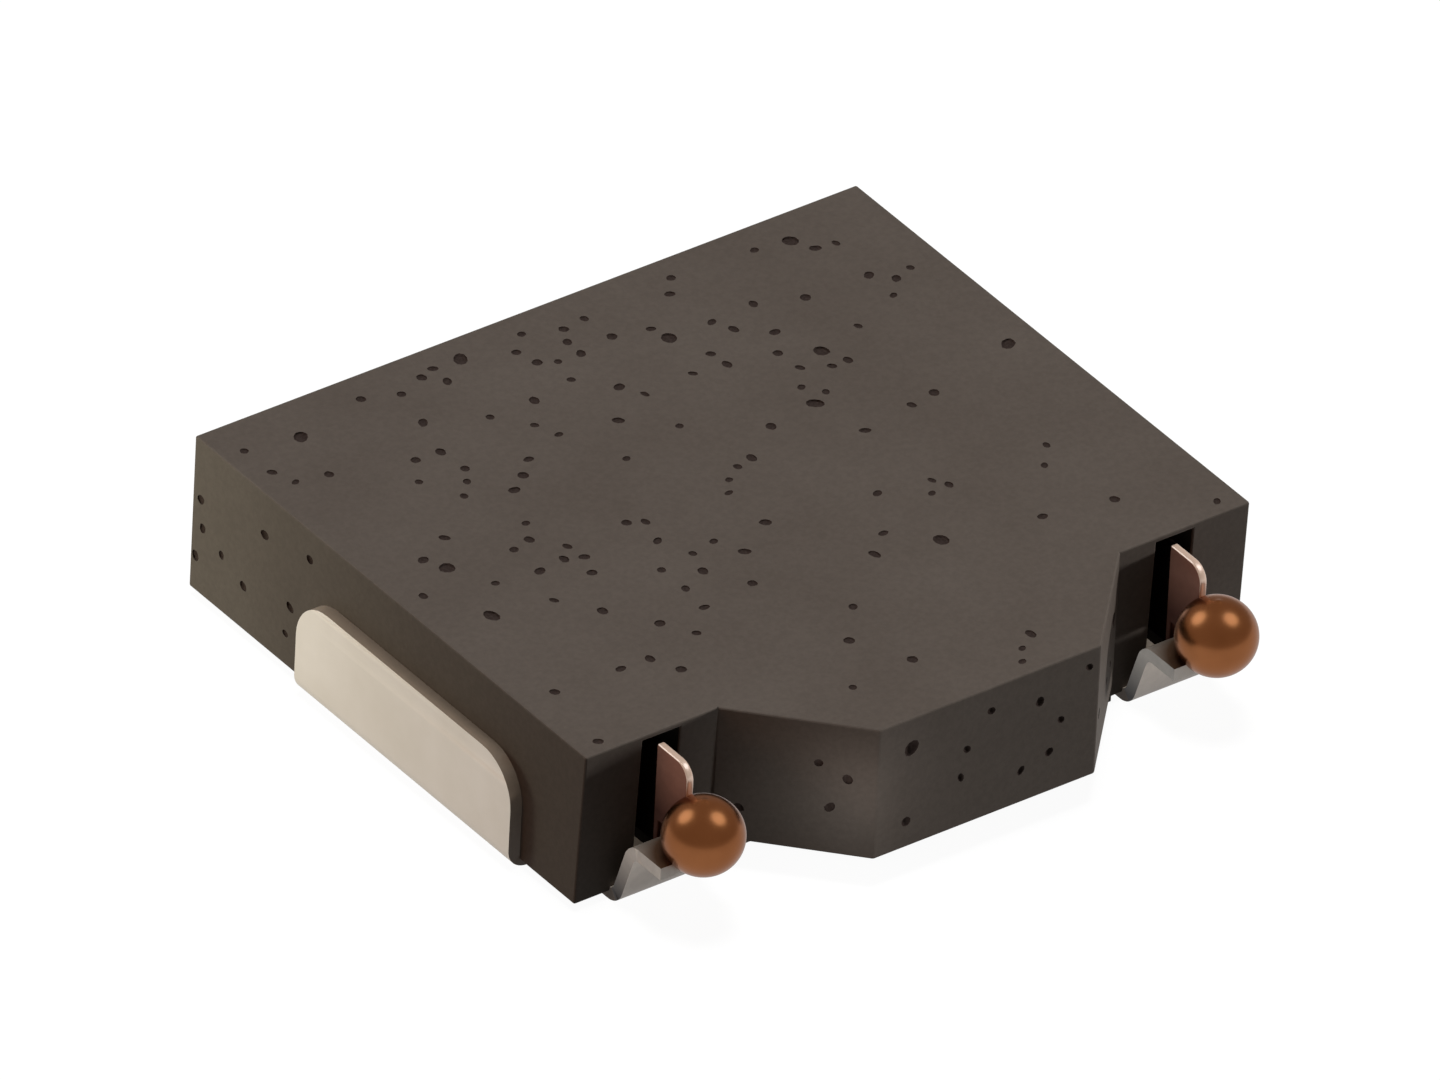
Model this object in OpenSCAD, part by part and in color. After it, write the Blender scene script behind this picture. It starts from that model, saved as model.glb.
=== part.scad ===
// Moulded power inductor for surface mounting: a flat winding sealed in a pressed
// iron-powder core, with two folded sheet terminals welded to the wire's ends.
// +Z is up, the nose of the core points along -Y, and Z = 0 is the solder plane.

/* [Core] */
// Width of the core, side to side
core_w = 5.2; // [4.8:0.1:6]
// Depth of the core from its back face to the shoulders
core_d = 4.21; // [4.15:0.02:5]
// Height of the core
core_h = 1.156; // [1.13:0.002:1.6]
// How far the shoulders lean back at the bottom
shoulder_lean = 0.05; // [0.04:0.01:0.12]

/* [Nose] */
// How far the nose stands out in front of the shoulders
nose_d = 0.757; // [0.755:0.001:1.1]
// Width of the nose where it leaves the shoulders
nose_base_w = 3.15; // [2.4:0.01:3.3]
// Width of the nose's front face
nose_tip_w = 1.73; // [1:0.01:2.3]
// How far the nose's underside is raised above the core's underside
nose_lift = 0.163; // [0.05:0.001:0.4]

/* [Wire exits] */
// Distance between the planes of the two wire ends
exit_span = 4.02; // [3.96:0.02:4.2]
// Width of the slot that each wire end comes out of
slot_w = 0.29; // [0.15:0.01:0.36]
// Depth of the slot behind the shoulder
slot_d = 0.45; // [0.2:0.05:0.45]
// Thickness of the core left over the slot
slot_roof = 0.04; // [0.03:0.01:0.1]

/* [Winding] */
// Thickness of the flat wire
wire_t = 0.055; // [0.045:0.005:0.07]
// Width of the flat wire
wire_w = 0.75; // [0.6:0.01:0.8]
// Radius of the winding's eye
coil_eye_r = 0.95; // [0.8:0.05:1]
// Number of whole turns; half a turn more brings the far end round to its side
turns = 6; // [4:1:7]
// Height of the winding's middle above the core's underside
coil_mid = 0.675; // [0.64:0.005:0.69]
// Distance of the winding's axis behind the shoulders
coil_back = 2; // [1.96:0.02:2.1]
// How far each wire end stands out in front of the shoulder
lead_out = 0.32; // [0.28:0.005:0.4]
// Radius of the corner on each wire end
lead_corner = 0.12; // [0.05:0.01:0.2]

/* [Terminals] */
// Thickness of the terminal sheet
sheet_t = 0.09; // [0.07:0.01:0.1]
// Radius of the middle of the sheet in its bends
bend_r = 0.11; // [0.1:0.01:0.14]
// How deep the solder pad sits in the core's underside
pad_seat = 0.03; // [0.02:0.01:0.06]
// Width of the solder pad, in from the core's side
pad_w = 1.3; // [1:0.05:1.5]
// Length of the solder pad and of the side plate, front to back
plate_l = 2.31; // [2:0.01:2.6]
// Distance of the side plate's middle behind the shoulders
plate_back = 1.79; // [1.6:0.01:2]
// Height of the side plate's top above the solder plane
plate_top = 0.787; // [0.7:0.001:0.9]
// Radius of the side plate's upper corners
plate_corner = 0.32; // [0.1:0.02:0.5]
// Width of the foot that reaches out to the wire end
foot_w = 0.63; // [0.6:0.01:0.66]
// Height of the wing's upper face above the solder plane
wing_top = 0.54; // [0.52:0.01:0.6]
// How far the foot leans forward of upright, in degrees
foot_lean = 18; // [14:1:24]
// How far the foot's outer face stands in front of the shoulder at the solder plane
foot_out = 0.045; // [0.04:0.001:0.06]
// How far the wing's front edge stands in front of the shoulder
wing_out = 0.467; // [0.44:0.001:0.5]

/* [Weld beads] */
// Radius of the weld bead
bead_r = 0.272; // [0.25:0.002:0.276]
// Distance of the bead's centre in front of the shoulder
bead_out = 0.478; // [0.45:0.002:0.48]
// Height of the bead's centre above the solder plane
bead_z = 0.69; // [0.67:0.005:0.72]

/* [Hidden] */

$fn = 48;
bend_steps = 12;
eps = 0.01;
core_z = sheet_t - pad_seat;
core_top = core_z + core_h;
back_y = (core_d + nose_d) / 2;
shoulder_y = back_y - core_d;
exit_x = exit_span / 2;
coil_y = shoulder_y + coil_back;
coil_r = coil_eye_r + wire_w;
coil_z = core_z + coil_mid;
lead_z = coil_z - wire_w / 2;
turn_pitch = (wire_w - wire_t) / (turns + 0.5);
turn_steps = 32;
twist_from = 0.5;
swing_steps = 14;
foot_clear = 0.04;
plate_y = shoulder_y + plate_back;
side_x = core_w / 2;
mid_z = sheet_t / 2;
neck_lap = 0.1;

// Middle line of a bent strip: each step is [straight length, bend angle], and the
// result lists [point, heading] all along it.
function strip_line(steps, p, a, i = 0) =
    i == len(steps) ? [] :
    let (q = p + steps[i][0] * [cos(a), sin(a)],
         bend = steps[i][1],
         c = q + sign(bend) * bend_r * [-sin(a), cos(a)],
         arc = bend == 0 ? [] : [for (k = [1:bend_steps]) let (b = a + bend * k / bend_steps)
             [c - sign(bend) * bend_r * [-sin(b), cos(b)], b]],
         last = bend == 0 ? [q, a] : arc[bend_steps - 1])
    concat([[q, a]], arc, strip_line(steps, last[0], last[1], i + 1));

// Outline of that strip at the given thickness.
module strip(steps, start, heading, thickness) {
    line = concat([[start, heading]], strip_line(steps, start, heading));
    side = [for (s = line) thickness / 2 * [-sin(s[1]), cos(s[1])]];
    n = len(line);
    polygon(concat([for (i = [0:n - 1]) line[i][0] + side[i]],
                   [for (i = [n - 1:-1:0]) line[i][0] - side[i]]));
}

// The plan of the core: a square back with shoulders and a tapered nose.
module core_plan() {
    polygon([[-side_x, back_y], [-side_x, shoulder_y], [-nose_base_w / 2, shoulder_y],
             [-nose_tip_w / 2, shoulder_y - nose_d], [nose_tip_w / 2, shoulder_y - nose_d],
             [nose_base_w / 2, shoulder_y], [side_x, shoulder_y], [side_x, back_y]]);
}

// Wedge that leans one shoulder back, from the nose's root to the core's side.
module shoulder_wedge() {
    translate([nose_base_w / 2, 0, 0]) rotate([90, 0, 90])
        linear_extrude(side_x - nose_base_w / 2 + eps)
            polygon([[shoulder_y - eps, core_z - eps], [shoulder_y + shoulder_lean, core_z - eps],
                     [shoulder_y + shoulder_lean, core_z], [shoulder_y, core_top],
                     [shoulder_y - eps, core_top]]);
}

// Slot that one wire end comes out of, open to the front and to the underside.
module wire_slot() {
    translate([exit_x - slot_w / 2, shoulder_y - eps, core_z - eps])
        cube([slot_w, slot_d + eps, core_h - slot_roof + eps]);
}

module core_body() color([0.34, 0.31, 0.29]) {
    difference() {
        translate([0, 0, core_z]) linear_extrude(core_h) core_plan();
        translate([-core_w, shoulder_y - nose_d - eps, core_z - eps])
            cube([2 * core_w, nose_d + eps, nose_lift + eps]);
        for (s = [0, 1]) mirror([s, 0, 0]) {
            shoulder_wedge();
            wire_slot();
            terminal_form();
        }
        coil_winding();
    }
}

// Smooth step from 0 to 1 as x runs from a to b.
function ease(x, a, b) = let (k = max(0, min(1, (x - a) / (b - a)))) k * k * (3 - 2 * k);

// One cross-section of the wire: middle, direction of its width, direction across it.
function section(middle, wide, thin) =
    [for (k = [[-1, -1], [1, -1], [1, 1], [-1, 1]])
        middle + k[0] * wire_w / 2 * wide + k[1] * wire_t / 2 * thin];

// Section of a wire end at distance u in front of the winding's axis. The edge that
// lay against the eye keeps its height and swings out to the exit plane, while the
// other edge turns about it until the wire stands upright. Side is -1 for the end
// that leaves the lowest turn on the left, and 1 for the one from the top turn.
function lead_section(u, side) =
    let (straight_u = coil_back - slot_d,
         twist = 90 * ease(u, straight_u * twist_from, straight_u),
         edge_x = coil_eye_r + (exit_x - coil_eye_r) * ease(u, 0, straight_u),
         edge_z = coil_z + side * (wire_w - wire_t * cos(twist)) / 2,
         wide = [side * cos(twist), 0, -side * sin(twist)],
         thin = [sin(twist), 0, cos(twist)])
    section([side * edge_x, coil_y - u, edge_z] + wire_w / 2 * wide, wide, thin);

// Sections along the whole wire: the left end, the turns wound on edge, the right end.
function wire_sections() =
    let (stations = [for (k = [0:swing_steps]) (coil_back - slot_d) * k / swing_steps],
         n = (turns + 0.5) * turn_steps)
    concat(
        [lead_section(coil_back + lead_out, -1)],
        [for (k = [swing_steps:-1:1]) lead_section(stations[k], -1)],
        [for (k = [0:n]) let (a = 180 - 360 * k / turn_steps, out = [cos(a), sin(a), 0])
            section([0, coil_y, lead_z + wire_t / 2 + turn_pitch * k / turn_steps]
                + (coil_eye_r + wire_w / 2) * out, out, [0, 0, 1])],
        [for (k = [1:swing_steps]) lead_section(stations[k], 1)],
        [lead_section(coil_back + lead_out, 1)]);

// The wire before its ends are trimmed: its sections joined into one solid. Its two
// broad sides are split along the same diagonals, so that they stay parallel in a twist.
module bare_wire() {
    sections = wire_sections();
    last = len(sections) - 1;
    polyhedron([for (s = sections) for (p = s) p],
        concat([[0, 1, 2], [0, 2, 3]],
            [for (i = [0:last - 1]) for (k = [0:3]) let (a = 4 * i + k, b = 4 * i + (k + 1) % 4)
                each k < 2 ? [[a, a + 4, b], [b, a + 4, b + 4]] : [[a, a + 4, b + 4], [a, b + 4, b]]],
            [[4 * last + 2, 4 * last + 1, 4 * last], [4 * last + 3, 4 * last + 2, 4 * last]]));
}

// What is cut from the wire end: its upper front corner, and the step that leaves
// room for the foot and stands on the wing.
module lead_trim() {
    end_y = shoulder_y - lead_out;
    corner_z = lead_z + wire_w - lead_corner;
    translate([exit_x - wire_t, 0, 0]) rotate([90, 0, 90]) linear_extrude(2 * wire_t) {
        difference() {
            translate([end_y - eps, corner_z]) square(lead_corner + eps);
            translate([end_y + lead_corner, corner_z]) circle(lead_corner);
        }
        translate([end_y - eps, 0]) square([lead_out - foot_clear + eps, wing_top]);
    }
}

module coil_winding() color([0.62, 0.36, 0.24]) {
    difference() {
        bare_wire();
        for (s = [0, 1]) mirror([s, 0, 0]) lead_trim();
    }
}

// Outline of the side plate seen from the side, with rounded upper corners.
module plate_outline() {
    low_y = plate_y - plate_l / 2;
    translate([low_y, -eps]) square([plate_l, plate_top - plate_corner + eps]);
    translate([low_y + plate_corner, -eps])
        square([plate_l - 2 * plate_corner, plate_top + eps]);
    for (y = [low_y + plate_corner, low_y + plate_l - plate_corner])
        translate([y, plate_top - plate_corner]) circle(plate_corner);
}

// Side plate and solder pad of the right-hand terminal, folded round the core's edge.
module plate_and_pad() {
    intersection() {
        translate([0, plate_y + plate_l / 2, 0]) rotate([90, 0, 0]) linear_extrude(plate_l)
            strip([[plate_top - mid_z - bend_r, -90], [pad_w + mid_z - bend_r, 0]],
                  [side_x + mid_z, plate_top], -90, sheet_t);
        rotate([90, 0, 90]) linear_extrude(core_w) plate_outline();
    }
}

// Neck under the core, leaning foot and wing of the right-hand terminal, folded
// from the same sheet.
module foot_and_wing() {
    foot_turn = 90 - foot_lean;
    bend_l = bend_r * tan(foot_turn / 2);
    neck_u = -(plate_y - plate_l / 2) - neck_lap;
    foot_u = -shoulder_y + foot_out - mid_z * cos(foot_lean)
        + mid_z * (1 - sin(foot_lean)) * tan(foot_lean);
    rise = wing_top - sheet_t;
    wing_u = foot_u + rise * tan(foot_lean);
    translate([exit_x + foot_w / 2, 0, 0]) rotate([90, 0, -90]) linear_extrude(foot_w)
        strip([[foot_u - bend_l - neck_u, foot_turn], [rise / cos(foot_lean) - 2 * bend_l, -foot_turn],
               [-shoulder_y + wing_out - wing_u - bend_l, 0]], [neck_u, mid_z], 0, sheet_t);
}

module terminal_form() {
    plate_and_pad();
    foot_and_wing();
}

module right_terminal() color([0.82, 0.78, 0.73]) terminal_form();
module left_terminal() color([0.82, 0.78, 0.73]) mirror([1, 0, 0]) terminal_form();

// Bead of melted wire that joins the right-hand wire end to its wing.
module bead_form() {
    difference() {
        translate([exit_x, shoulder_y - bead_out, bead_z]) rotate([90, 0, 0]) sphere(bead_r);
        translate([exit_x - wire_t / 2, shoulder_y - lead_out, wing_top])
            cube([wire_t, lead_out, lead_z + wire_w - wing_top]);
        foot_and_wing();
    }
}

module right_weld_bead() color([0.55, 0.32, 0.18]) bead_form();
module left_weld_bead() color([0.55, 0.32, 0.18]) mirror([1, 0, 0]) bead_form();

core_body();
coil_winding();
left_terminal();
right_terminal();
left_weld_bead();
right_weld_bead();
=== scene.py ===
import math
import random

import bmesh
import bpy
from mathutils import Matrix, Vector


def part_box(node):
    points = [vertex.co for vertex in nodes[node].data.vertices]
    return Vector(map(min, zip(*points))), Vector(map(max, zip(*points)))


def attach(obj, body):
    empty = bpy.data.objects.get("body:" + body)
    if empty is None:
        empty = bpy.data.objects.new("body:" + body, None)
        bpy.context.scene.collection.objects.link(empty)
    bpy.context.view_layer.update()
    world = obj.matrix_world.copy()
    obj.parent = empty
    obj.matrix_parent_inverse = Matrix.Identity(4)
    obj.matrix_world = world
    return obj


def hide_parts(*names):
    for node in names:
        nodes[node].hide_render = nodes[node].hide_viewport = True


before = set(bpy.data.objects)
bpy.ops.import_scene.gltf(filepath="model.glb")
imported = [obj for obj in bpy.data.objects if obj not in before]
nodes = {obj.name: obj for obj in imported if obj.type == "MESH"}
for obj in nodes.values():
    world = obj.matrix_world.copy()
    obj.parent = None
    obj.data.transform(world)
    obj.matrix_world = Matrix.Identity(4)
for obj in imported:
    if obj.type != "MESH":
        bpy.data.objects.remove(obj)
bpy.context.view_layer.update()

# ---------------------------------------------------------------- pressed core
# One block of iron powder and resin, pressed round the winding: a square back, a
# tapered nose, and a slot in each shoulder for a wire end. Its skin is matt and
# dark, with fine grain and small open pores where powder has fallen out.
MM = 1000.0
core_low, core_high = (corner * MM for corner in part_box("core_body"))
nose_depth = 0.757
nose_base_half = 1.575
nose_tip_half = 0.865
shoulder_y = core_low.y + nose_depth
shoulder_lean = 0.05
nose_lift = 0.163
slot_middle = 2.01
slot_half = 0.145
slot_depth = 0.45
slot_roof = 0.04
edge_round = 0.012
weld_tolerance = 0.0005
flat_angle = math.radians(0.4)
random.seed(52)


def shader(name, rough, metal=0.0):
    """A new material with its Principled shader, and a function that adds a node."""
    material = bpy.data.materials.new(name)
    material.use_nodes = True
    tree = material.node_tree
    main = tree.nodes["Principled BSDF"]
    main.inputs["Roughness"].default_value = rough
    main.inputs["Metallic"].default_value = metal

    def add(kind, **values):
        node = tree.nodes.new("ShaderNode" + kind)
        for key, value in values.items():
            if key in node.inputs:
                node.inputs[key].default_value = value
            else:
                setattr(node, key, value)
        return node

    return material, tree.links.new, main, add


def ramp(add, *stops):
    """A colour ramp with stops given as (place, colour)."""
    node = add("ValToRGB")
    points = node.color_ramp.elements
    points[0].position, points[0].color = stops[0][0], (*stops[0][1], 1)
    points[1].position, points[1].color = stops[-1][0], (*stops[-1][1], 1)
    for place, colour in stops[1:-1]:
        points.new(place).color = (*colour, 1)
    return node


def bumped(link, main, add, height, strength, depth_mm):
    """Bump from a height output, with its depth in millimetres."""
    bump = add("Bump", Strength=strength, Distance=depth_mm / MM)
    link(height, bump.inputs["Height"])
    link(bump.outputs["Normal"], main.inputs["Normal"])
    return bump


def finish_piece(obj, node_name):
    """Brings a piece from millimetres to metres, hides its CAD node and hangs it on the root body.
    """
    for vertex in obj.data.vertices:
        vertex.co /= MM
    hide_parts(node_name)
    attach(obj, "root")


def baked(obj):
    """Applies every modifier of an object to its mesh."""
    graph = bpy.context.evaluated_depsgraph_get()
    mesh = bpy.data.meshes.new_from_object(obj.evaluated_get(graph))
    obj.modifiers.clear()
    obj.data = mesh


def new_object(name, mesh_tool, materials):
    """An object from a bmesh, with its materials."""
    mesh = bpy.data.meshes.new(name)
    mesh_tool.to_mesh(mesh)
    mesh_tool.free()
    obj = bpy.data.objects.new(name, mesh)
    bpy.context.collection.objects.link(obj)
    for material in materials:
        mesh.materials.append(material)
    return obj


# The skin: warm dark grey, mottled at two sizes, with a fine powder grain.
core_skin, link, main, add = shader("core_skin", 0.62)
place = add("TexCoord").outputs["Object"]
grain = add("TexNoise", Scale=26.0 * MM, Detail=3.0, Roughness=0.6)
mottle = add("TexNoise", Scale=0.9 * MM, Detail=4.0, Roughness=0.55)
for texture in (grain, mottle):
    link(place, texture.inputs["Vector"])
tone = ramp(add, (0.3, (0.085, 0.070, 0.060)), (0.7, (0.098, 0.082, 0.071)))
link(mottle.outputs["Fac"], tone.inputs["Fac"])
fleck = ramp(add, (0.35, (0.93, 0.93, 0.92)), (0.65, (1.04, 1.04, 1.03)))
link(grain.outputs["Fac"], fleck.inputs["Fac"])
skin_colour = add("Mix", data_type="RGBA", blend_type="MULTIPLY")
skin_colour.inputs[0].default_value = 1.0
link(tone.outputs["Color"], skin_colour.inputs[6])
link(fleck.outputs["Color"], skin_colour.inputs[7])
link(skin_colour.outputs[2], main.inputs["Base Color"])
main.inputs["Specular IOR Level"].default_value = 0.12
bumped(link, main, add, grain.outputs["Fac"], 0.2, 0.004)

# Inside the pores the powder is bare and darker than the skin.
bare_powder, link, main, add = shader("bare_powder", 0.9)
place = add("TexCoord").outputs["Object"]
crumb = add("TexNoise", Scale=60.0 * MM, Detail=2.0)
link(place, crumb.inputs["Vector"])
dark = ramp(add, (0.3, (0.030, 0.021, 0.018)), (0.7, (0.044, 0.032, 0.028)))
link(crumb.outputs["Fac"], dark.inputs["Fac"])
link(dark.outputs["Color"], main.inputs["Base Color"])
main.inputs["Specular IOR Level"].default_value = 0.1

# The slots' walls get a near-black painted shade, for the deep shadow round the wire.
slot_shade, link, main, add = shader("slot_shade", 0.8)
place = add("TexCoord").outputs["Object"]
shade_mottle = add("TexNoise", Scale=8.0 * MM, Detail=3.0)
link(place, shade_mottle.inputs["Vector"])
slot_shade_tone = ramp(add, (0.3, (0.004, 0.003, 0.002)), (0.7, (0.009, 0.007, 0.005)))
link(shade_mottle.outputs["Fac"], slot_shade_tone.inputs["Fac"])
link(slot_shade_tone.outputs["Color"], main.inputs["Base Color"])
main.inputs["Specular IOR Level"].default_value = 0.1

body_tool = bmesh.new()
body_tool.from_mesh(nodes["core_body"].data)
bmesh.ops.scale(body_tool, vec=(MM, MM, MM), verts=body_tool.verts)
bmesh.ops.remove_doubles(body_tool, verts=body_tool.verts, dist=weld_tolerance)
bmesh.ops.dissolve_limit(body_tool, angle_limit=flat_angle,
                         verts=body_tool.verts, edges=body_tool.edges)
# Only the core's outer edges are rounded, not those of the space for the winding.
skin_depth = 0.02
sharp_angle = math.radians(40)
shortest_edge = 0.1
weight = body_tool.edges.layers.float.new("bevel_weight_edge")
for edge in body_tool.edges:
    spot = (edge.verts[0].co + edge.verts[1].co) / 2
    sealed = (abs(spot.x) < core_high.x - skin_depth
              and shoulder_y + 3 * skin_depth < spot.y < core_high.y - skin_depth
              and spot.z < core_high.z - skin_depth)
    sharp = edge.calc_face_angle(0.0) > sharp_angle and edge.calc_length() > shortest_edge
    if sharp and not sealed:
        edge[weight] = 1.0
core_skins = [core_skin, bare_powder, slot_shade]
core = new_object("pressed_core", body_tool, core_skins)

soften = core.modifiers.new("soften", "BEVEL")
soften.width = edge_round
soften.segments = 2
soften.limit_method = "WEIGHT"
soften.use_clamp_overlap = False
baked(core)

# Most pores are small, and one in seven is large.
pore_sizes = (0.028, 0.030, 0.032, 0.034, 0.036, 0.038, 0.054)
tries_per_pore = 90
pore_flatness = 0.55
pore_gap = 0.05
rim_gap = 0.04
crowding = 1.7
nose_share = 0.93
side_share = 0.45


def pore(tool, middle, normal, radius):
    """One open pore: a small lumpy hollow, wider than it is deep."""
    made = bmesh.ops.create_icosphere(tool, subdivisions=2, radius=1.0)["verts"]
    turn = normal.to_track_quat("Z", "Y")
    stretch = random.uniform(0.85, 1.25)
    spin = random.uniform(0, math.pi)
    for vertex in made:
        p = vertex.co
        lump = 1 + random.uniform(-0.07, 0.07)
        x, y = p.x * stretch * lump, p.y / stretch * lump
        flat = Vector((x * math.cos(spin) - y * math.sin(spin),
                       x * math.sin(spin) + y * math.cos(spin), p.z * pore_flatness))
        vertex.co = middle + turn @ (flat * radius)


def scatter(tool, count, origin, along, across, normal, thick_near=0.0, made=()):
    """Pores over a flat face, clear of those made; thick_near crowds the first corner."""
    made = list(made)
    count += len(made)
    tries = 0
    while len(made) < count and tries < count * tries_per_pore:
        tries += 1
        u, v = random.uniform(0.02, 0.98), random.uniform(0.04, 0.96)
        keep = (1 - thick_near * (u + 2 * v) / 3) ** crowding
        radius = random.choice(pore_sizes)
        spot = origin + along * u + across * v
        if random.random() > keep:
            continue
        if any((spot - p).length < r + radius + pore_gap for p, r in made):
            continue
        if abs(normal.z) > 0.5 and not on_top(spot, radius):
            continue
        made.append((spot, radius))
        pore(tool, spot, normal, radius)


def on_top(spot, margin):
    """Whether a point of the top lies on the core's plan, clear of its edges."""
    if abs(spot.x) > core_high.x - margin - rim_gap:
        return False
    if spot.y > shoulder_y + margin + pore_gap:
        return True
    part = (shoulder_y - spot.y) / nose_depth
    half = nose_base_half + (nose_tip_half - nose_base_half) * part
    return 0 <= part < nose_share and abs(spot.x) < half - margin - pore_gap


pores = bmesh.new()
width, height = core_high.x - core_low.x, core_high.z - core_low.z
side_depth = core_high.y - shoulder_y
up, left, front = Vector((0, 0, 1)), Vector((-1, 0, 0)), Vector((0, -1, 0))
twin_radius = 0.027
twin_offset = Vector((0.043, 0.058, 0))
twins = [(Vector((x, y, core_high.z)) + end * twin_offset, twin_radius)
         for x, y in ((-0.08, 0.2), (1.0, -0.5), (0.38, -2.3)) for end in (-1, 1)]
for spot, radius in twins:
    pore(pores, spot, up, radius)
scatter(pores, 126, Vector((core_low.x, core_high.y, core_high.z)), Vector((width, 0, 0)),
        Vector((0, core_low.y - core_high.y, 0)), up, 0.8, twins)
for outer_x, outward in ((core_low.x, left), (core_high.x, -left)):
    scatter(pores, 12, Vector((outer_x, core_high.y, core_low.z + 0.2)),
            Vector((0, -side_depth * side_share, 0)), up * (height - 0.3), outward, 0.6)
scatter(pores, 26, Vector((core_low.x, core_high.y, core_low.z + 0.1)),
        Vector((width, 0, 0)), up * (height - 0.2), -front)
# The nose has its own draw, so its pores stay where they are when the top's change.
random.seed(1)
scatter(pores, 10, Vector((-nose_tip_half, core_low.y, core_low.z + nose_lift + 0.08)),
        Vector((2 * nose_tip_half, 0, 0)), up * (height - nose_lift - 0.16), front)
slant = Vector((nose_base_half - nose_tip_half, nose_depth, 0))
slant_out = Vector((nose_depth, -(nose_base_half - nose_tip_half), 0)).normalized()
for side in (-1, 1):
    scatter(pores, 4, Vector((side * nose_tip_half, core_low.y, core_low.z + nose_lift + 0.1)),
            Vector((side * slant.x, slant.y, 0)), up * (height - nose_lift - 0.2),
            Vector((side * slant_out.x, slant_out.y, 0)))
cutter = new_object("pores", pores, [bare_powder])
pits = core.modifiers.new("pits", "BOOLEAN")
pits.operation = "DIFFERENCE"
pits.solver = "EXACT"
pits.object = cutter
baked(core)
bpy.data.objects.remove(cutter)

# Faces inside the slots take the near-black painted shade.
hair = 0.001
for face in core.data.polygons:
    middle = face.center
    in_slot = (abs(abs(middle.x) - slot_middle) < slot_half + hair
               and shoulder_y + shoulder_lean < middle.y < shoulder_y + slot_depth + hair
               and middle.z < core_high.z - slot_roof + hair)
    if in_slot:
        face.material_index = core_skins.index(slot_shade)
# The metal shows the room, not the core's own dark side, in its mirror images.
core.visible_glossy = False
finish_piece(core, "core_body")

# ---------------------------------------------------------------- winding
# Flat copper wire wound on edge and sealed in the core. Only its two ends show:
# each stands upright in its slot, with its upper corner rounded by the cutter.
wire_edge_round = 0.014
round_over = math.radians(50)


def wire_skin(name, rough, metal, dark, pale, shine=0.5):
    """Drawn copper: fine lines along the wire between two colours."""
    skin, link, main, add = shader(name, rough, metal)
    place = add("TexCoord").outputs["Object"]
    drawn = add("Mapping")
    drawn.inputs["Scale"].default_value = (1.0, 0.12, 1.0)
    link(place, drawn.inputs["Vector"])
    lines = add("TexNoise", Scale=30.0 * MM, Detail=3.0)
    link(drawn.outputs["Vector"], lines.inputs["Vector"])
    warm = ramp(add, (0.3, dark), (0.7, pale))
    link(lines.outputs["Fac"], warm.inputs["Fac"])
    link(warm.outputs["Color"], main.inputs["Base Color"])
    main.inputs["Specular IOR Level"].default_value = shine
    bumped(link, main, add, lines.outputs["Fac"], 0.2, 0.002)
    return skin


def worn_and_shaded_metal(name, rough, metal, near, far, measure, shine=0.5):
    """Metal whose colour changes as a measure in millimetres grows, for tints and painted shade and
    light.
    """
    skin, link, main, add = shader(name, rough, metal)
    place = add("TexCoord").outputs["Object"]
    torn = add("TexNoise", Scale=16.0 * MM, Detail=4.0)
    link(place, torn.inputs["Vector"])
    change = ramp(add, near, far)
    link(measure(add, link, place), change.inputs["Fac"])
    spots = ramp(add, (0.3, (0.90, 0.90, 0.90)), (0.7, (1.0, 1.0, 1.0)))
    link(torn.outputs["Fac"], spots.inputs["Fac"])
    both = add("Mix", data_type="RGBA", blend_type="MULTIPLY")
    both.inputs[0].default_value = 1.0
    link(change.outputs["Color"], both.inputs[6])
    link(spots.outputs["Color"], both.inputs[7])
    link(both.outputs[2], main.inputs["Base Color"])
    main.inputs["Specular IOR Level"].default_value = shine
    bumped(link, main, add, torn.outputs["Fac"], 0.2, 0.002)
    return skin


def height_mm(add, link, place):
    """Height above the board."""
    split = add("SeparateXYZ")
    scaled = add("Math", operation="MULTIPLY")
    link(place, split.inputs[0])
    link(split.outputs["Z"], scaled.inputs[0])
    scaled.inputs[1].default_value = MM
    return scaled.outputs[0]


# The broad face is dark brown low down near the weld and paler towards its upper edge: painted
# light from above.
broad_face = worn_and_shaded_metal("copper_wire", 0.45, 0.45, (0.62, (0.09, 0.036, 0.025)),
                        (0.98, (0.34, 0.165, 0.120)), height_mm, 0.0)
cut_edge = wire_skin("clean_wire_edge", 0.3, 0.6, (0.84, 0.62, 0.50), (0.92, 0.72, 0.60))
# Inside the slot the wire takes a near-black painted shade.
wire_in_shade = wire_skin("wire_painted_shade", 0.8, 0.0, (0.010, 0.006, 0.005), (0.016, 0.010, 0.008), 0.0)

coil_tool = bmesh.new()
coil_tool.from_mesh(nodes["coil_winding"].data)
bmesh.ops.scale(coil_tool, vec=(MM, MM, MM), verts=coil_tool.verts)
bmesh.ops.remove_doubles(coil_tool, verts=coil_tool.verts, dist=weld_tolerance)
bmesh.ops.dissolve_limit(coil_tool, angle_limit=flat_angle,
                         verts=coil_tool.verts, edges=coil_tool.edges)
everything = list(coil_tool.verts) + list(coil_tool.edges) + list(coil_tool.faces)
bmesh.ops.bisect_plane(coil_tool, geom=everything, plane_co=(0, shoulder_y, 0),
                       plane_no=(0, 1, 0))
wire_skins = [broad_face, cut_edge, wire_in_shade]
coil = new_object("flat_wire_winding", coil_tool, wire_skins)
soften = coil.modifiers.new("soften", "BEVEL")
soften.width = wire_edge_round
soften.segments = 3
soften.limit_method = "ANGLE"
soften.angle_limit = round_over
baked(coil)
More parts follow.
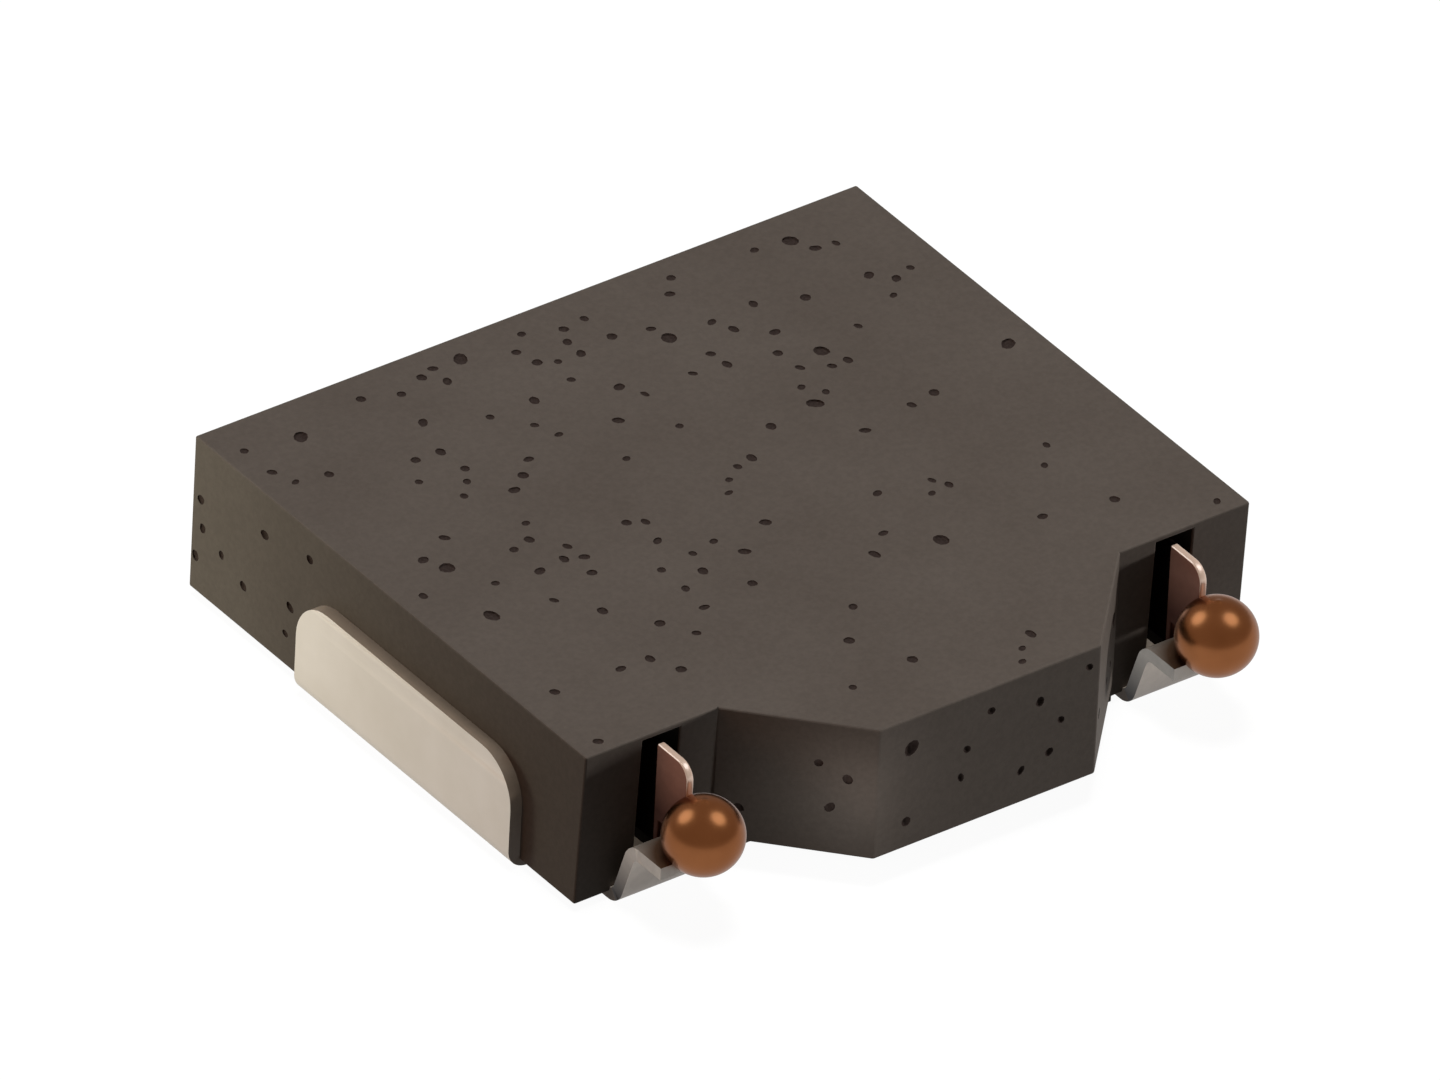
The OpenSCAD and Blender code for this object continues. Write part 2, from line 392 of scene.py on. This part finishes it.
# Faces inside the slot take the painted shade; the upper cut edges show clean copper.
for face in coil.data.polygons:
    face.use_smooth = True
    if face.center.y > shoulder_y:
        face.material_index = wire_skins.index(wire_in_shade)
    elif abs(face.normal.x) < 0.8 and face.center.z > (core_low.z + core_high.z) / 2:
        face.material_index = wire_skins.index(cut_edge)
finish_piece(coil, "coil_winding")

# ---------------------------------------------------------------- terminals
# Each is one strip of tinned copper sheet, stamped and folded: a side plate with
# rounded corners, a solder pad under the core, and a foot that leans out to a wing.
plate_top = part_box("right_terminal")[1].z * MM
sheet = 0.09
fold_radius = 0.11
fold_steps = 14
plate_length = 2.31
plate_corner = 0.32
plate_setback = 1.79
plate_middle_y = shoulder_y + plate_setback
pad_reach = 1.3
neck_lap = 0.1
foot_width = 0.63
foot_lean = math.radians(18)
foot_out = 0.045
wing_top = 0.54
wing_out = 0.467
weld_out = 0.48
sheet_edge_round = 0.014

tin, link, main, add = shader("tinned_sheet", 0.42, 0.5)
place = add("TexCoord").outputs["Object"]
rolled = add("Mapping")
rolled.inputs["Scale"].default_value = (1.0, 0.25, 1.0)
link(place, rolled.inputs["Vector"])
cloud = add("TexNoise", Scale=2.4 * MM, Detail=4.0)
fine = add("TexNoise", Scale=40.0 * MM, Detail=2.0)
link(place, cloud.inputs["Vector"])
link(rolled.outputs["Vector"], fine.inputs["Vector"])
silver = ramp(add, (0.3, (0.86, 0.78, 0.68)), (0.7, (0.93, 0.85, 0.76)))
link(cloud.outputs["Fac"], silver.inputs["Fac"])
link(silver.outputs["Color"], main.inputs["Base Color"])
bumped(link, main, add, fine.outputs["Fac"], 0.15, 0.002)


def weld_mm(add, link, place):
    """Distance from the weld on the wing, the same on both terminals."""
    mirrored = add("VectorMath", operation="ABSOLUTE")
    gap = add("VectorMath", operation="DISTANCE")
    scaled = add("Math", operation="MULTIPLY")
    link(place, mirrored.inputs[0])
    link(mirrored.outputs["Vector"], gap.inputs[0])
    gap.inputs[1].default_value = (slot_middle / MM, (weld_out - shoulder_y) / MM, wing_top / MM)
    link(gap.outputs["Value"], scaled.inputs[0])
    scaled.inputs[1].default_value = MM
    return scaled.outputs[0]


# The punched edge is bare and dull. On the foot, the front and the punched edges darken
# towards the floor as painted shade, and the wing's top is browned near the weld: heat tint
# and a painted reflection of the bead.
cut_sheet = worn_and_shaded_metal("cut_sheet", 0.6, 0.3, (0.05, (0.13, 0.10, 0.080)),
                       (0.80, (0.20, 0.155, 0.115)), height_mm)
foot_edge_shade = worn_and_shaded_metal("foot_edge_shade", 0.5, 0.5, (0.08, (0.06, 0.055, 0.055)),
                       (0.46, (0.66, 0.62, 0.57)), height_mm)
foot_front_shade = worn_and_shaded_metal("foot_front_shade", 0.45, 0.5, (0.05, (0.50, 0.45, 0.41)),
                        (0.45, (0.66, 0.59, 0.52)), height_mm)
heat_tint_and_reflection = worn_and_shaded_metal("heat_tint_and_reflection", 0.4, 0.7, (0.30, (0.12, 0.070, 0.042)),
                       (0.50, (0.72, 0.65, 0.57)), weld_mm)
terminal_skins = [tin, cut_sheet, foot_edge_shade, foot_front_shade, heat_tint_and_reflection]
tin_index, edge_index = terminal_skins.index(tin), terminal_skins.index(cut_sheet)


def strip_path(steps, start, heading):
    """The middle line of a folded strip, as (point, heading, distance along)."""
    point, walked = Vector(start), 0.0
    path = [(point.copy(), heading, walked)]
    for length, fold in steps:
        for part in (1 / 3, 1 / 3, 1 / 3):
            point = point + length * part * Vector((math.cos(heading), math.sin(heading)))
            walked += length * part
            path.append((point.copy(), heading, walked))
        if fold:
            side = math.copysign(1, fold)
            hub = point + side * fold_radius * Vector((-math.sin(heading), math.cos(heading)))
            for i in range(fold_steps):
                heading += fold / fold_steps
                walked += abs(fold) / fold_steps * fold_radius
                point = hub - side * fold_radius * Vector((-math.sin(heading), math.cos(heading)))
                path.append((point.copy(), heading, walked))
    return path


def folded_strip(tool, path, half_width, to_space):
    """Closed sheet along a path; half_width gives half its width at each place."""
    rings = []
    for point, heading, walked in path:
        out = Vector((-math.sin(heading), math.cos(heading))) * sheet / 2
        half = half_width(walked)
        rings.append([tool.verts.new(to_space(point + face * out, across * half))
                      for face, across in ((1, -1), (1, 1), (-1, 1), (-1, -1))])
    for first, second in zip(rings, rings[1:]):
        for i in range(4):
            j = (i + 1) % 4
            made = tool.faces.new((first[i], first[j], second[j], second[i]))
            made.material_index = edge_index if i % 2 else tin_index
    for end in (rings[0][::-1], rings[-1]):
        tool.faces.new(end).material_index = edge_index


def cut_corner_path(path, radius, steps=10):
    """Adds places along the first stretch, so that its rounded corners come out smooth."""
    start, heading, _ = path[0]
    ahead = Vector((math.cos(heading), math.sin(heading)))
    extra = [radius * (1 - math.cos(math.pi / 2 * i / steps)) for i in range(1, steps + 1)]
    return [path[0]] + [(start + ahead * d, heading, d) for d in extra] + \
        [entry for entry in path[1:] if entry[2] > radius + 0.001]


def foot_skin(face):
    """The finish of a foot face by which way it looks: painted shade in front, painted reflection
    on top.
    """
    if face.material_index == edge_index:
        return terminal_skins.index(foot_edge_shade)
    if face.normal.y < -0.5:
        return terminal_skins.index(foot_front_shade)
    if face.normal.z > 0.6:
        return terminal_skins.index(heat_tint_and_reflection)
    if face.normal.y > 0.2:
        return edge_index
    return face.material_index


def plate_half(walked):
    inset = max(0.0, plate_corner - walked)
    return plate_length / 2 - plate_corner + math.sqrt(max(plate_corner ** 2 - inset ** 2, 0.0))


def terminal(name, side, node_name):
    """One terminal, made for the right-hand side and mirrored for the left."""
    plate_tool = bmesh.new()
    path = strip_path([(plate_top - sheet / 2 - fold_radius, -math.pi / 2),
                       (pad_reach + sheet / 2 - fold_radius, 0)],
                      (core_high.x + sheet / 2, plate_top), -math.pi / 2)
    path = cut_corner_path(path, plate_corner)
    folded_strip(plate_tool, path, plate_half,
                 lambda p, w: Vector((side * p.x, plate_middle_y + w, p.y)))
    turn = math.pi / 2 - foot_lean
    fold_length = fold_radius * math.tan(turn / 2)
    neck_start = -(plate_middle_y - plate_length / 2) - neck_lap
    foot_at = (-shoulder_y + foot_out - sheet / 2 * math.cos(foot_lean)
               + sheet / 2 * (1 - math.sin(foot_lean)) * math.tan(foot_lean))
    rise = wing_top - sheet
    wing_at = foot_at + rise * math.tan(foot_lean)
    steps = [(foot_at - fold_length - neck_start, turn),
             (rise / math.cos(foot_lean) - 2 * fold_length, -turn),
             (-shoulder_y + wing_out - wing_at - fold_length, 0)]
    foot_tool = bmesh.new()
    folded_strip(foot_tool, strip_path(steps, (neck_start, sheet / 2), 0.0),
                 lambda walked: foot_width / 2,
                 lambda p, w: Vector((side * slot_middle + w, -p.x, p.y)))
    for tool in (plate_tool, foot_tool):
        bmesh.ops.recalc_face_normals(tool, faces=tool.faces)
    piece = new_object(name, plate_tool, terminal_skins)
    foot = new_object(name + "_foot", foot_tool, terminal_skins)
    join = piece.modifiers.new("join", "BOOLEAN")
    join.operation, join.solver, join.object = "UNION", "EXACT", foot
    baked(piece)
    bpy.data.objects.remove(foot)
    rounding = piece.modifiers.new("rounding", "BEVEL")
    rounding.width = sheet_edge_round
    rounding.segments = 3
    rounding.limit_method = "ANGLE"
    rounding.angle_limit = round_over
    baked(piece)
    for face in piece.data.polygons:
        face.use_smooth = True
        if face.center.y < shoulder_y:
            face.material_index = foot_skin(face)
    piece.data.set_sharp_from_angle(angle=math.radians(45))
    finish_piece(piece, node_name)


terminal("left_sheet_terminal", -1, "left_terminal")
terminal("right_sheet_terminal", 1, "right_terminal")

# ---------------------------------------------------------------- weld beads
# The end of each wire, melted onto its wing in one flash: surface tension pulls it
# into a ball, and the last metal to set leaves a small pip on top.
bead_rings = 48
pip_height = 0.010
pip_spread = 0.022
flattened = 0.975
sag = 0.004

molten, link, main, add = shader("melted_copper", 0.27, 1.0)
place = add("TexCoord").outputs["Object"]
skin = add("TexNoise", Scale=3.0 * MM, Detail=3.0)
link(place, skin.inputs["Vector"])
glow = ramp(add, (0.3, (0.32, 0.118, 0.044)), (0.7, (0.39, 0.150, 0.058)))
link(skin.outputs["Fac"], glow.inputs["Fac"])
link(glow.outputs["Color"], main.inputs["Base Color"])
bumped(link, main, add, skin.outputs["Fac"], 0.06, 0.004)


def bead(name, node_name):
    """A round bead with a little sag and its pip, in the place of its CAD node."""
    low, high = (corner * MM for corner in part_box(node_name))
    middle, radius = (low + high) / 2, (high.x - low.x) / 2
    tool = bmesh.new()
    made = bmesh.ops.create_uvsphere(tool, u_segments=2 * bead_rings, v_segments=bead_rings,
                                     radius=radius)["verts"]
    for vertex in made:
        p = vertex.co
        off_axis = math.hypot(p.x, p.y)
        pip = pip_height * math.exp(-(off_axis / pip_spread) ** 2) if p.z > 0 else 0.0
        p.z = p.z * flattened + pip - sag
        vertex.co = middle + p
    piece = new_object(name, tool, [molten])
    for face in piece.data.polygons:
        face.use_smooth = True
    finish_piece(piece, node_name)


bead("left_melted_bead", "left_weld_bead")
bead("right_melted_bead", "right_weld_bead")

# ---------------------------------------------------------------- stage
# A pale floor and horizon that read as white, and a dim warm sky. Lamps overhead, to the
# right and to the left light the core. Two high ones only show as highlights in metal.
floor_half = 0.6
floor_gap = 0.002
floor_white = 0.95
floor_mirrored = 0.60
sky_light = 0.05
sky_mirrored = 0.34

floor_tool = bmesh.new()
bmesh.ops.create_grid(floor_tool, x_segments=1, y_segments=1, size=floor_half)
paper, link, main, add = shader("pale_floor", 0.9)
main.inputs["Base Color"].default_value = (0.08, 0.08, 0.08, 1)
main.inputs["Specular IOR Level"].default_value = 0.0
main.inputs["Emission Color"].default_value = (1, 1, 1, 1)


def by_ray(add, link, lit, seen, mirrored):
    """A level that differs for rays that light, rays of the camera, and mirrored rays."""
    rays = add("LightPath").outputs
    either = add("Math", operation="MAXIMUM")
    link(rays["Is Glossy Ray"], either.inputs[0])
    link(rays["Is Transmission Ray"], either.inputs[1])
    first = add("Math", operation="MULTIPLY_ADD")
    first.inputs[1].default_value, first.inputs[2].default_value = seen - lit, lit
    link(rays["Is Camera Ray"], first.inputs[0])
    second = add("Math", operation="MULTIPLY_ADD")
    second.inputs[1].default_value = mirrored - lit
    link(either.outputs[0], second.inputs[0])
    link(first.outputs[0], second.inputs[2])
    return second.outputs[0]


link(by_ray(add, link, 0.0, floor_white, floor_mirrored), main.inputs["Emission Strength"])
# From below the floor is clear, so that the solder pads can be seen.
clear = add("BsdfTransparent")
facing = add("NewGeometry")
see_through = add("MixShader")
link(facing.outputs["Backfacing"], see_through.inputs[0])
link(main.outputs[0], see_through.inputs[1])
link(clear.outputs[0], see_through.inputs[2])
link(see_through.outputs[0], paper.node_tree.nodes["Material Output"].inputs["Surface"])
floor = new_object("floor", floor_tool, [paper])
floor.location.z = -floor_gap / MM

world = bpy.data.worlds.new("world")
bpy.context.scene.world = world
world.use_nodes = True
sky_tree = world.node_tree
sky = sky_tree.nodes["Background"]


def add_to_sky(kind, **values):
    node = sky_tree.nodes.new("ShaderNode" + kind)
    for key, value in values.items():
        setattr(node, key, value)
    return node


sky_colour = add_to_sky("Mix", data_type="RGBA")
sky_colour.inputs[6].default_value = (1.0, 0.88, 0.76, 1)
sky_colour.inputs[7].default_value = (1, 1, 1, 1)
sky_tree.links.new(add_to_sky("LightPath").outputs["Is Camera Ray"], sky_colour.inputs[0])
sky_tree.links.new(sky_colour.outputs[2], sky.inputs["Color"])
sky_tree.links.new(by_ray(add_to_sky, sky_tree.links.new, sky_light, 1.0, sky_mirrored),
                   sky.inputs["Strength"])


def softbox(name, azimuth, elevation, distance, size, watts, colour=(1, 1, 1), aim=(0, 0, 0),
            mirrored=False):
    """A round lamp that faces a point in millimetres; azimuth 0 is in front of it."""
    lamp = bpy.data.lights.new(name, "AREA")
    lamp.shape, lamp.size, lamp.energy, lamp.color = "DISK", size / MM, watts, colour
    obj = bpy.data.objects.new(name, lamp)
    bpy.context.collection.objects.link(obj)
    a, e = math.radians(azimuth), math.radians(elevation)
    away = Vector((math.sin(a) * math.cos(e), -math.cos(a) * math.cos(e), math.sin(e)))
    obj.location = (Vector(aim) + away * distance) / MM
    obj.rotation_mode = "QUATERNION"
    obj.rotation_quaternion = away.to_track_quat("Z", "Y")
    obj.visible_camera, obj.visible_glossy, obj.visible_diffuse = False, mirrored, not mirrored


softbox("overhead", 0, 90, 200, 80, 0.36)
softbox("back_left_box", -142, 45, 120, 76, 0.024, colour=(0.85, 1.0, 1.15), mirrored=True)
softbox("right_box", 58, 57, 120, 76, 0.024, colour=(0.85, 1.0, 1.15), mirrored=True)
softbox("key", 66, 4, 140, 16, 0.140)
softbox("left_fill", -100, 14, 140, 60, 0.025, colour=(1.0, 0.44, 0.18))

# Two small lamps close by: one lights the back of the left side and fades towards the
# front, the other lights the nose's left corner and leaves the shoulders dark.
softbox("left_glow", -125, 5, 3.6, 1.5, 0.000118, colour=(0.95, 1.0, 0.85),
        aim=(core_low.x, core_high.y - 0.9, 0.6))
softbox("nose_glow", -52, 4, 0.65, 0.4, 0.0000034, aim=(-nose_tip_half, core_low.y, 0.65))

# ---------------------------------------------------------------- camera
# A very long lens, as for a product picture: far edges look almost as long as
# near ones. The distances are shares of the core's width.
core_width = (core_high.x - core_low.x) / MM
azimuth, elevation, roll = (math.radians(angle) for angle in (-37.865, 34.851, 2.95))
aim_right, aim_up, lens_away = 0.00627, 0.0955, 52.37
target = Vector((0, (core_high.y + shoulder_y) / 2, core_low.z)) / MM
back = Vector((math.sin(azimuth) * math.cos(elevation),
               -math.cos(azimuth) * math.cos(elevation), math.sin(elevation)))
right = Vector((math.cos(azimuth), math.sin(azimuth), 0))
level_up = back.cross(right)
cam_right = right * math.cos(roll) + level_up * math.sin(roll)
cam_up = level_up * math.cos(roll) - right * math.sin(roll)
camera = bpy.data.objects.new("camera", bpy.data.cameras.new("camera"))
bpy.context.collection.objects.link(camera)
camera.location = target + core_width * (aim_right * cam_right + aim_up * cam_up + lens_away * back)
axes = [[cam_right[i], cam_up[i], back[i]] for i in range(3)]
camera.rotation_mode = "QUATERNION"
camera.rotation_quaternion = Matrix(axes).to_quaternion()
camera.data.lens = 1073
camera.data.sensor_width = 36
camera.data.clip_start, camera.data.clip_end = core_width * 20, core_width * 400
bpy.context.scene.camera = camera
bpy.context.scene.view_settings.view_transform = "Standard"
